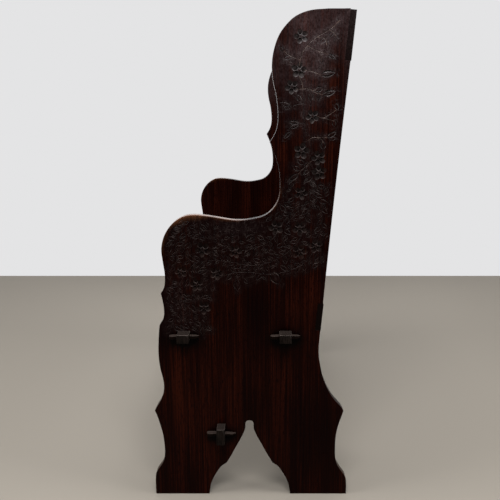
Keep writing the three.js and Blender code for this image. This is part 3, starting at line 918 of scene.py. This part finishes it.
# Steel: where its dark and its bright patches lie in the noise, and how rough they are
STEEL_STOPS = (0.35, 0.65)
STEEL_ROUGHNESS = (0.35, 0.6)


def linear(colour):
    """An sRGB hex colour as linear RGBA."""
    srgb = np.array([int(colour[i:i + 2], 16) for i in (1, 3, 5)]) / 255
    rgb = np.where(srgb <= 0.04045, srgb / 12.92, ((srgb + 0.055) / 1.055) ** 2.4)
    return (*rgb.tolist(), 1.0)


def add(tree, kind, inputs=(), stops=(), **settings):
    """Adds a node and gives its first live output, or the node where it has none. The inputs are values or
    the sockets that feed them: by name, or else in the order of the node's live sockets. The stops are a
    colour ramp's places and hex colours."""
    node = tree.nodes.new("ShaderNode" + kind)
    for key, value in settings.items():
        setattr(node, key, value)
    live = [socket for socket in node.inputs if socket.enabled]
    named = isinstance(inputs, dict)
    for socket, value in zip([node.inputs[key] for key in inputs] if named else live,
                             inputs.values() if named else inputs):
        if isinstance(value, bpy.types.NodeSocket):
            tree.links.new(value, socket)
        else:
            socket.default_value = value
    for i, (place, colour) in enumerate(stops):
        mark = node.color_ramp.elements[i] if i < 2 else node.color_ramp.elements.new(place)
        mark.position = place
        mark.color = linear(colour)
    shown = [socket for socket in node.outputs if socket.enabled]
    return shown[0] if shown else node


def new_material(name):
    """An empty material and its tree."""
    material = bpy.data.materials.new(name)
    material.use_nodes = True
    material.node_tree.nodes.clear()
    return material, material.node_tree


def axis_of(tree, kind, output, axis):
    """One axis of a vector that a node gives, such as how far up a surface faces."""
    return add(tree, "SeparateXYZ", (add(tree, kind).node.outputs[output],)).node.outputs[axis]


def grained(tree, grain, pattern, seen=(0.0, 1.0), made=(0.0, 1.0)):
    """Noise drawn out along the grain by the pattern's sizes, with what lies between the two values seen
    turned to what lies between the two made."""
    across, along, octaves = pattern
    scale = [1 / (MM * across)] * 3
    scale["XYZ".index(grain)] = 1 / (MM * along)
    place = add(tree, "TexCoord").node.outputs["Object"]
    stretched = add(tree, "Mapping", {"Vector": place, "Scale": scale})
    noise = add(tree, "TexNoise", {"Vector": stretched, "Scale": 1.0, "Detail": octaves})
    return add(tree, "MapRange", (noise, *seen, *made))


def oak_tone(tree, grain, shades, thin=0.0):
    """Oak under a dark stain: broad figure and fine streaks along the grain, warmer where the stain is thin,
    and short open pores that hold it. Gives the colour, the streaks and the pores."""
    streak = grained(tree, grain, STREAK)
    tone = add(tree, "Mix", (STREAK_SHARE, grained(tree, grain, FIGURE), streak))
    tone = add(tree, "Math", (thin, THIN_SHIFT, tone), operation="MULTIPLY_ADD")
    colour = add(tree, "ValToRGB", (tone,), zip(TONE_STOPS, shades))
    pores = grained(tree, grain, PORE, PORE_LEVELS)
    return add(tree, "Mix", (pores, linear(shades[0]), colour), data_type="RGBA"), streak, pores


def varnished(tree, colour, streak, pores, roughness, polish=0.0):
    """Old shellac on the wood: duller along some streaks, dipping into the pores, and glossy where it is
    polished."""
    low, high = GLOSS_SPREAD
    gloss = add(tree, "MapRange", (streak, *GLOSS_LEVELS, roughness + low, roughness + high))
    ridges = add(tree, "Math", (streak, pores), operation="ADD")
    bump = add(tree, "Bump", {"Height": ridges, "Strength": PORE_STRENGTH, "Distance": PORE_DEPTH})
    shader = add(tree, "BsdfPrincipled", {
        "Base Color": colour, "Roughness": gloss, "Normal": bump, "IOR": SHELLAC_IOR,
        "Specular IOR Level": SHELLAC_LEVEL, "Coat Weight": polish, "Coat Roughness": POLISH_ROUGHNESS,
        "Coat IOR": POLISH_IOR,
    })
    add(tree, "OutputMaterial", {"Surface": shader})


def bloomed_with_sheen(tree, colour, matted=0.0, thin=0.0):
    """The grey bloom of old shellac with a painted sheen of the light from above, cloudy and finely specked:
    thick near the top, thin on matted ground below, and wiped off where the stain is thin. Gives the colour
    and how far up the bloom and sheen are."""
    rise = add(tree, "MapRange", (axis_of(tree, "TexCoord", "Object", "Z"), *BLOOM_SHEEN_LEVELS))
    high = add(tree, "Math", (rise, BLOOM_SHEEN_RISE), operation="POWER")
    ground = add(tree, "Math", (matted, 1 - BLOOM_SHEEN_PLAIN, BLOOM_SHEEN_PLAIN), operation="MULTIPLY_ADD")
    high = add(tree, "Math", (high, ground), operation="MULTIPLY")
    share = add(tree, "Math", (matted, BLOOM_SHEEN_LOW, high), operation="MULTIPLY_ADD")
    wiped = add(tree, "MapRange", (thin, *WIPED_LEVELS, *WIPED_SHARES))
    clouds = grained(tree, "Z", CLOUD, CLOUD_LEVELS, BLOOM_SHEEN_SHARES)
    specks = grained(tree, "Z", SPECK, SPECK_LEVELS, BLOOM_SHEEN_SHARES)
    for part in (BLOOM_SHEEN_MOST, wiped, clouds, specks):
        share = add(tree, "Math", (share, part), operation="MULTIPLY")
    return add(tree, "Mix", (share, colour, linear(BLOOM_SHEEN)), data_type="RGBA"), rise


def with_carving(tree, colour, thin):
    """The carved ground, darker where it was matted with a punch and with painted shade round the carved
    forms, whose dents catch a little painted light. The flanks of the cuts get a painted grey shade, and are
    rubbed pale with a painted highlight, mostly those that face up, dustier and more lit near the top. The
    stems are rubbed a warmer tone with a painted highlight that grows near the top, and the deepest parts
    hold dirt and painted shade. Gives the colour and where there is a flank."""
    facing = axis_of(tree, "NewGeometry", "Normal", "Z")
    matted, cut, stem = [add(tree, "Attribute", attribute_name=label).node.outputs["Fac"]
                         for label in ("matted", "cut", "stem")]
    stem = add(tree, "MapRange", (stem, *STEM_LEVELS))
    # Matted ground darker, with painted shade round the carved forms
    ground = add(tree, "Math", (matted, MATTED_SHADE_DARK), operation="MULTIPLY")
    colour = add(tree, "Mix", (ground, colour, linear(STAIN_DARK)), data_type="RGBA")
    colour, rise = bloomed_with_sheen(tree, colour, matted, thin)
    flank = add(tree, "MapRange", (cut, *FLANK_DEPTHS))
    shade = add(tree, "MapRange", (rise, 0.0, 1.0, *SHADE_SHARES))
    shade = add(tree, "Math", (flank, shade), operation="MULTIPLY")
    colour = add(tree, "Mix", (shade, colour, linear(CUT_SHADED)), data_type="RGBA")
    # Painted highlight on the flanks that face up and on the dents, stronger near the top, over a rubbed
    # tone
    lit = add(tree, "MapRange", (facing, *LIT_FACING, *LIT_SHARES))
    flanks = add(tree, "Math", (flank, lit), operation="MULTIPLY")
    dents = [grained(tree, grain, PUNCH) for grain in "ZY"]
    dents = add(tree, "Math", dents, operation="MAXIMUM")
    dents = add(tree, "MapRange", (dents, *DENT_LEVELS, 0.0, DENT_MOST))
    dents = add(tree, "Math", (dents, matted), operation="MULTIPLY")
    pale_and_lit = add(tree, "Math", (flanks, dents), operation="MAXIMUM")
    high = add(tree, "Math", (rise, FLANK_RISE), operation="POWER")
    for part in (add(tree, "MapRange", (high, 0.0, 1.0, *FLANK_SHARES)),
                 grained(tree, "Z", SPOT, FLANK_SPOTS, FLANK_SPOT_SHARES)):
        pale_and_lit = add(tree, "Math", (pale_and_lit, part), operation="MULTIPLY")
    rubbed_lit_tone = add(tree, "Mix", (rise, linear(CUT_RUBBED_HIGHLIGHT), linear(CUT_DUSTY_HIGHLIGHT)), data_type="RGBA")
    colour = add(tree, "Mix", (pale_and_lit, colour, rubbed_lit_tone), data_type="RGBA")
    # Stems rubbed paler, with a painted highlight that grows near the top
    for part in (add(tree, "MapRange", (rise, 0.0, 1.0, *STEM_SHARES)),
                 grained(tree, "Z", SPOT, STEM_SPOTS, STEM_SPOT_SHARES)):
        stem = add(tree, "Math", (stem, part), operation="MULTIPLY")
    colour = add(tree, "Mix", (stem, colour, linear(STEM_RUBBED_HIGHLIGHT)), data_type="RGBA")
    # Dirt and painted shade in the deepest parts of the cuts and petals
    deep = add(tree, "MapRange", (cut, *DIRT_SHADE_DEPTHS, 0.0, DIRT_SHADE_MOST))
    return add(tree, "Mix", (deep, colour, linear(GRIME_SHADE)), data_type="RGBA"), flank


def stained_oak_board():
    """An end board's quarter-cut oak: carved and matted outside, black with grime and painted shadow round
    the keys, and worn to warm brown and polished by hands along the arris."""
    material, tree = new_material("stained_oak_board")
    thin, grime_and_shadow, wear = [add(tree, "Attribute", attribute_name=label).node.outputs["Fac"]
                         for label in ("thin", "grime_and_shadow", "wear")]
    colour, streak, pores = oak_tone(tree, "Z", OAK_SHADES, thin)
    colour, flank = with_carving(tree, colour, thin)
    # Grime and painted shadow round the keys, lying mostly below them
    black = add(tree, "MapRange", (grime_and_shadow, *GRIME_SHADOW_LEVELS, 0.0, GRIME_SHADOW_MOST))
    colour = add(tree, "Mix", (black, colour, linear(GRIME_SHADE)), data_type="RGBA")
    patches = add(tree, "Math", (wear, grained(tree, "Z", RUB)), operation="MULTIPLY")
    worn = add(tree, "MapRange", (patches, *WORN_LEVELS))
    colour = add(tree, "Mix", (worn, colour, linear(STAIN_WORN)), data_type="RGBA")
    turned = add(tree, "Math", (axis_of(tree, "NewGeometry", "Normal", "X"),), operation="ABSOLUTE")
    turned = add(tree, "MapRange", (turned, *TURNED_LEVELS, 1.0, 0.0))
    edge = add(tree, "MapRange", (wear, *EDGE_LEVELS, 0.0, EDGE_MOST))
    edge = add(tree, "Math", (edge, turned), operation="MULTIPLY")
    colour = add(tree, "Mix", (edge, colour, linear(EDGE_WORN)), data_type="RGBA")
    polish = add(tree, "MapRange", (wear, *POLISH_LEVELS, 0.0, POLISH_MOST))
    for part in (turned, add(tree, "Math", (1.0, flank), operation="SUBTRACT")):
        polish = add(tree, "Math", (polish, part), operation="MULTIPLY")
    varnished(tree, colour, streak, pores, BOARD_ROUGHNESS, polish)
    return material


def outside_boards(tree):
    """1 on what passes through the end boards, beyond END_FROM on either side."""
    away = add(tree, "Math", (axis_of(tree, "TexCoord", "Object", "X"),), operation="ABSOLUTE")
    return add(tree, "Math", (away, END_FROM * MM), operation="GREATER_THAN")


def stained_oak(name, grain, shades, roughness):
    """Oak with its grain along the piece, under a dark stain and old shellac, with grey bloom and painted
    sheen near the top. Where a piece shows its end grain in the end boards' outer faces, the stain has
    soaked in dark."""
    material, tree = new_material(name)
    colour, streak, pores = oak_tone(tree, grain, shades)
    ends = outside_boards(tree)
    colour = add(tree, "Mix", (ends, colour, linear(STAIN_END)), data_type="RGBA")
    colour, _ = bloomed_with_sheen(tree, colour, thin=add(tree, "Math", (ends, END_WIPED), operation="MULTIPLY"))
    varnished(tree, colour, streak, pores, roughness)
    return material


def tenoned_oak():
    """Stained oak with its grain along the bench. The ends that pass through the end boards are bare of
    shellac and grey with handling, lighter on top with painted light from above and with a painted highlight
    along the top arris, and their end grain is dark, with upright lines."""
    material, tree = new_material("stained_oak_tenoned")
    colour, streak, pores = oak_tone(tree, "X", OAK_SHADES)
    facing = axis_of(tree, "NewGeometry", "Normal", "Z")
    tones = (END_GRAIN_PALE, TENON_ARRIS_HIGHLIGHT, TENON_ARRIS_HIGHLIGHT, TENON_TOP_LIT)
    # Tones by how far up a face looks: a painted highlight on the arris and a top lit paler with painted
    # light
    rubbed = add(tree, "ValToRGB", (facing,), zip(TENON_STOPS, tones))
    rings = grained(tree, "Z", RING, RING_LEVELS, RING_SHARES)
    bare = add(tree, "Mix", (rings, rubbed, linear(END_GRAIN_DARK)), data_type="RGBA")
    colour = add(tree, "Mix", (outside_boards(tree), colour, bare), data_type="RGBA")
    varnished(tree, colour, streak, pores, TENON_ROUGHNESS)
    return material


def dusty_lit_oak(name):
    """Small oak pieces cut by hand: near black, with grey dust, rubbing and painted light on the faces that
    look up.
    """
    material, tree = new_material(name)
    facing = axis_of(tree, "NewGeometry", "Normal", "Z")
    streak = grained(tree, "Y", KEY_STREAK)
    # Paler faces that look up: dust and painted light
    dusty_lit = add(tree, "MapRange", (facing, *DUST_LIT_FACING))
    patchy = add(tree, "MapRange", (streak, *DUST_LIT_LEVELS, *DUST_LIT_SHARES))
    dust_and_light = add(tree, "Math", (dusty_lit, patchy), operation="MULTIPLY")
    colour = add(tree, "Mix", (dust_and_light, linear(KEY_DARK), linear(KEY_DUST_LIT)), data_type="RGBA")
    varnished(tree, colour, streak, grained(tree, "Y", KEY_PORE), KEY_ROUGHNESS)
    return material


def dull_steel():
    """Slotted steel screws gone dull and brown, with a patchy sheen."""
    material, tree = new_material("dull_steel")
    patch = grained(tree, "Z", STEEL_PATCH)
    colour = add(tree, "ValToRGB", (patch,), zip(STEEL_STOPS, (STEEL_DARK, STEEL)))
    rough = add(tree, "MapRange", (patch, 0.0, 1.0, *STEEL_ROUGHNESS))
    shader = add(tree, "BsdfPrincipled", {"Base Color": colour, "Roughness": rough, "Metallic": 1.0})
    add(tree, "OutputMaterial", {"Surface": shader})
    return material


def dress(piece, node, material, body):
    """Gives a piece its finish and the body that it rides on, in place of its solid."""
    piece.data.materials.clear()
    piece.data.materials.append(material)
    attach(piece, body)
    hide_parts(node)


board_oak = stained_oak_board()
upright_oak = stained_oak("stained_oak_upright", "Z", OAK_SHADES, RAIL_ROUGHNESS)
rail_oak = stained_oak("stained_oak_rail", "X", OAK_SHADES, RAIL_ROUGHNESS)
tenoned = tenoned_oak()
panel_oak = stained_oak("stained_oak_panel", "Z", PANEL_SHADES, PANEL_ROUGHNESS)
key_oak = dusty_lit_oak("dusty_lit_oak_key")
peg_oak = dusty_lit_oak("dusty_lit_oak_peg")
screw_steel = dull_steel()

# What the pieces that keep their solids' form are finished in, and how far their edges are softened
SOFTENED = {
    "seat_board": (tenoned, "dark_oak", SOFT_EDGE),
    "stretcher": (tenoned, "dark_oak", SOFT_EDGE),
    "back_bottom_rail": (rail_oak, "dark_oak", FINE_EDGE),
    "back_top_rail": (rail_oak, "dark_oak", FINE_EDGE),
    "back_stile": (upright_oak, "dark_oak", FINE_EDGE),
    "back_muntin": (upright_oak, "dark_oak", FINE_EDGE),
    "back_panel": (panel_oak, "panel_oak", FINE_EDGE),
    "peg": (peg_oak, "worn_oak", FINE_EDGE),
    "screw": (screw_steel, "dark_steel", SCREW_EDGE),
}

bodies = frame["record"]["behaviour"]["bodies"]
body_of = {node: body for body, nodes in bodies.items() for node in nodes}

surfaces = board_surfaces()
for name, side in (("end_board_right", 1), ("end_board_left", -1)):
    piece = linked(name + "_carved", end_board(name, side, surfaces))
    dress(piece, name, board_oak, body_of[name])
for name in list(frame["nodes"]):
    if name.startswith("key_"):
        fall = STRETCHER_KEY_FALL if "stretcher" in name else 0
        piece = linked(name + "_whittled", whittled_key(name, fall))
        dress(piece, name, key_oak, body_of[name])
    for kind, (material, slot, edge) in SOFTENED.items():
        if name.startswith(kind):
            dress(softened(name, edge), name, material, body_of[name])

# Camera, fitted to the outlines of the near and the far end board
LENS = 45.68
SENSOR = 36.0
CAMERA_PLACE = (2017.1, 28.5, 950.6)
CAMERA_PITCH = math.radians(11.406)
CAMERA_SHIFT = -0.024

camera = linked("camera", bpy.data.cameras.new("camera"))
camera.data.lens = LENS
camera.data.sensor_width = SENSOR
camera.data.shift_x = CAMERA_SHIFT
camera.location = [v * MM for v in CAMERA_PLACE]
camera.rotation_euler = (math.pi / 2 - CAMERA_PITCH, 0, math.pi / 2)
bpy.context.scene.camera = camera

# Floor, wall and light. Each lamp has a name, a place, a width and height, and a power in watts.
FLOOR_HALF = 4000.0
FLOOR_ROUGHNESS = 0.7
WALL_X = -1871.0
WALL_HALF = 2300.0
WALL_HEIGHT = 2600.0
ROOM_LIGHT = 0.06
LAMP_AIM = (0.0, 0.0, 700.0)
LAMPS = [
    ("front_lamp", (2600, 0, 3300), (2200, 900), 102),
    ("top_lamp", (300, 0, 3200), (1700, 1700), 45),
    ("left_lamp", (1200, -3600, 2600), (1800, 1300), 90),
    ("right_lamp", (1200, 3600, 2600), (1800, 1300), 90),
    ("rim_lamp", (-1600, 0, 1150), (2400, 500), 4),
]


def sheet(name, corners, material):
    """A flat sheet of the room, which isn't part of the bench."""
    mesh = bpy.data.meshes.new(name)
    mesh.from_pydata([[v * MM for v in corner] for corner in corners], [], [(0, 1, 2, 3)])
    mesh.materials.append(material)
    linked(name, mesh)


def pale_floor():
    """Matt grey floor paint of one tone, so that only the bench's shadow shows on it."""
    material, tree = new_material("pale_floor")
    shader = add(tree, "BsdfPrincipled", {"Base Color": linear(FLOOR_GREY), "Roughness": FLOOR_ROUGHNESS})
    add(tree, "OutputMaterial", {"Surface": shader})
    return material


def seen_directly(tree):
    """1 for rays from the camera, from a reflection and through glass, which all show the bright wall."""
    path = add(tree, "LightPath").node.outputs
    first = add(tree, "Math", (path["Is Camera Ray"], path["Is Glossy Ray"]), operation="MAXIMUM")
    return add(tree, "Math", (first, path["Is Transmission Ray"]), operation="MAXIMUM")


def white_wall():
    """Flat white wall paint. Its back is clear, so that the bench can be looked at from behind."""
    material, tree = new_material("white_wall")
    paint = add(tree, "BsdfDiffuse", {"Color": linear(WALL_SHADED)})
    shown = add(tree, "Emission", {"Color": linear(WALL_WHITE)})
    front = add(tree, "MixShader", (seen_directly(tree), paint, shown))
    behind = add(tree, "NewGeometry").node.outputs["Backfacing"]
    both = add(tree, "MixShader", (behind, front, add(tree, "BsdfTransparent")))
    add(tree, "OutputMaterial", {"Surface": both})
    return material


sheet("floor", [(WALL_X, -FLOOR_HALF, 0), (FLOOR_HALF, -FLOOR_HALF, 0), (FLOOR_HALF, FLOOR_HALF, 0),
                (WALL_X, FLOOR_HALF, 0)], pale_floor())
sheet("wall", [(WALL_X, -WALL_HALF, 0), (WALL_X, WALL_HALF, 0), (WALL_X, WALL_HALF, WALL_HEIGHT),
               (WALL_X, -WALL_HALF, WALL_HEIGHT)], white_wall())

# The room is dimmer than the wall, so that the dark stain keeps its depth.
world = bpy.data.worlds.new("studio")
world.use_nodes = True
bpy.context.scene.world = world
tree = world.node_tree
tree.nodes.clear()
shown = add(tree, "LightPath").node.outputs["Is Camera Ray"]
room = add(tree, "Background", {"Color": linear(ROOM_WHITE), "Strength": ROOM_LIGHT})
white = add(tree, "Background", {"Color": linear(WALL_WHITE)})
add(tree, "OutputWorld", {"Surface": add(tree, "MixShader", (shown, room, white))})


def soft_lamp(name, place, size, power):
    """A rectangle of soft light that faces LAMP_AIM and isn't seen itself."""
    lamp = bpy.data.lights.new(name, "AREA")
    lamp.shape = "RECTANGLE"
    lamp.size, lamp.size_y = size[0] * MM, size[1] * MM
    lamp.energy = power
    piece = linked(name, lamp)
    piece.location = [v * MM for v in place]
    aim = Vector([v * MM for v in LAMP_AIM]) - piece.location
    piece.rotation_euler = aim.to_track_quat("-Z", "Y").to_euler()
    piece.visible_camera = False


for lamp in LAMPS:
    soft_lamp(*lamp)

bpy.context.scene.view_settings.view_transform = "Standard"
